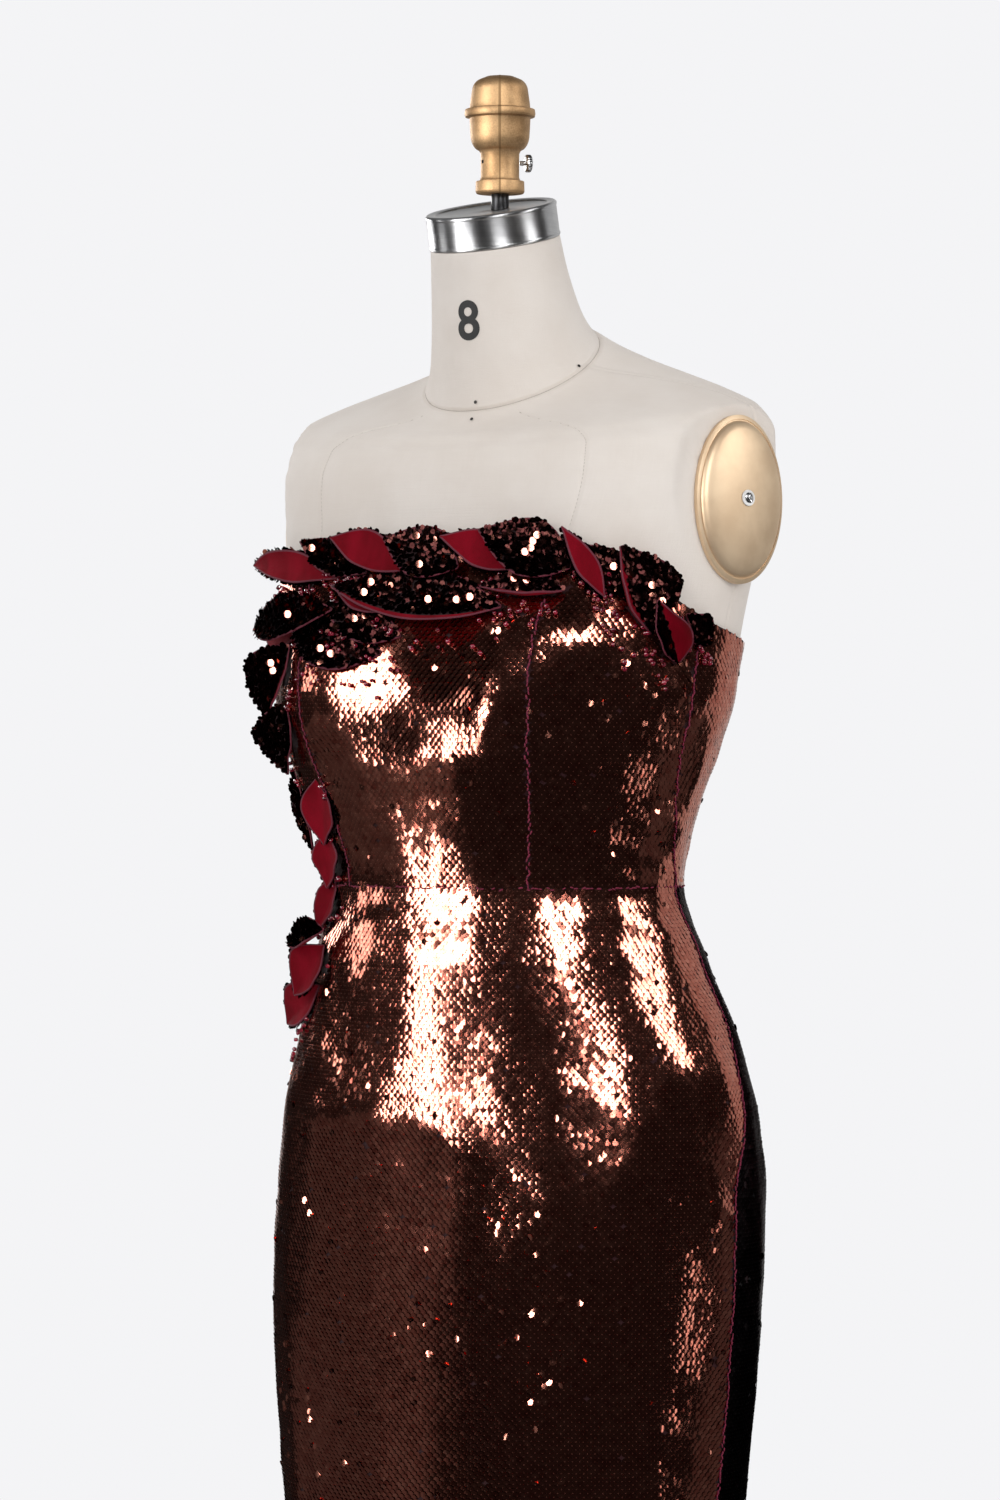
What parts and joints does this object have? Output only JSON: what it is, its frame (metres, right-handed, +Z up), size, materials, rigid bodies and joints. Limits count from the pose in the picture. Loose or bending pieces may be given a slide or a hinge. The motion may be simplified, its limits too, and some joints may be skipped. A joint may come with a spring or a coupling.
{
  "type": "mermaid evening gown on a dress form",
  "caption": "Strapless sequinned mermaid gown with leaf petals along its top edge and a fluted hem, worn by a limbless dress form on a pole and round foot.",
  "frame": {"origin": "on the floor, at the centre of the stand's round foot, on the axis of its pole", "axes": "+Z up along the pole; the form faces -Y, and its left side is +X"},
  "size_m": [0.7111, 0.6804, 1.607],
  "materials": {
    "copper_sequin": "copper-brown sequins in close rows on burgundy cloth",
    "black_sequin": "near-black sequins in close rows",
    "petal_sequin": "dark copper sequins on a leaf-cut petal, rose edge",
    "crimson_suede": "matte crimson suede side of a petal",
    "linen": "off-white woven cover, stretched",
    "steel": "brushed",
    "black_steel": "black oxide, satin",
    "gold": "satin gold lacquer",
    "grey_enamel": "grey enamel, satin"
  },
  "bodies": {
    "gown_and_form": {"form_body": "linen", "form_neck_band": "steel", "form_rod": "black_steel", "form_finial": "gold", "arm_plate_left": "gold", "arm_plate_right": "gold", "arm_plate_screw_left": "steel", "arm_plate_screw_right": "steel", "stand_pole": "grey_enamel", "stand_foot": "grey_enamel", "bodice_centre_front": "copper_sequin", "bodice_side_front_left": "copper_sequin", "bodice_side_front_right": "copper_sequin", "bodice_back_left": "copper_sequin", "bodice_back_right": "copper_sequin", "skirt_front": "copper_sequin", "skirt_back_left": "black_sequin", "skirt_back_right": "black_sequin", "flounce_centre_front": "copper_sequin", "flounce_side_front_left": "copper_sequin", "flounce_side_front_right": "copper_sequin", "flounce_side_back_left": "black_sequin", "flounce_side_back_right": "black_sequin", "flounce_centre_back_left": "black_sequin", "flounce_centre_back_right": "black_sequin", "zip_chain": "black_steel", "zip_slider": "black_steel", "petal_01": "crimson_suede", "petal_02": "crimson_suede", "petal_03": "crimson_suede", "petal_04": "petal_sequin", "petal_05": "crimson_suede", "petal_06": "petal_sequin", "petal_07": "crimson_suede", "petal_08": "petal_sequin", "petal_09": "petal_sequin", "petal_10": "crimson_suede", "petal_11": "petal_sequin", "petal_12": "crimson_suede", "petal_13": "petal_sequin", "petal_14": "petal_sequin", "petal_15": "crimson_suede", "petal_16": "petal_sequin", "petal_17": "petal_sequin", "petal_18": "petal_sequin", "petal_19": "crimson_suede", "petal_20": "petal_sequin", "petal_21": "crimson_suede", "petal_22": "petal_sequin", "petal_23": "crimson_suede", "petal_24": "petal_sequin", "petal_25": "petal_sequin", "petal_26": "crimson_suede", "petal_27": "petal_sequin", "petal_28": "crimson_suede", "petal_29": "petal_sequin"},
    "pull_tab": {"zip_pull": "black_steel"},
    "thumb_screw": {"finial_thumb_screw": "steel"}
  },
  "joints": [
    {"name": "pull_tab_swing", "type": "hinge", "parent": "gown_and_form", "child": "pull_tab", "pos_m": [0, 0.1242, 1.204], "axis": [1, 0, 0], "range_deg": [0, 150]},
    {"name": "thumb_screw_turn", "type": "hinge", "parent": "gown_and_form", "child": "thumb_screw", "pos_m": [0, 0, 1.548], "axis": [0.6691, 0.7431, 0], "range_deg": [0, 360]}
  ]
}
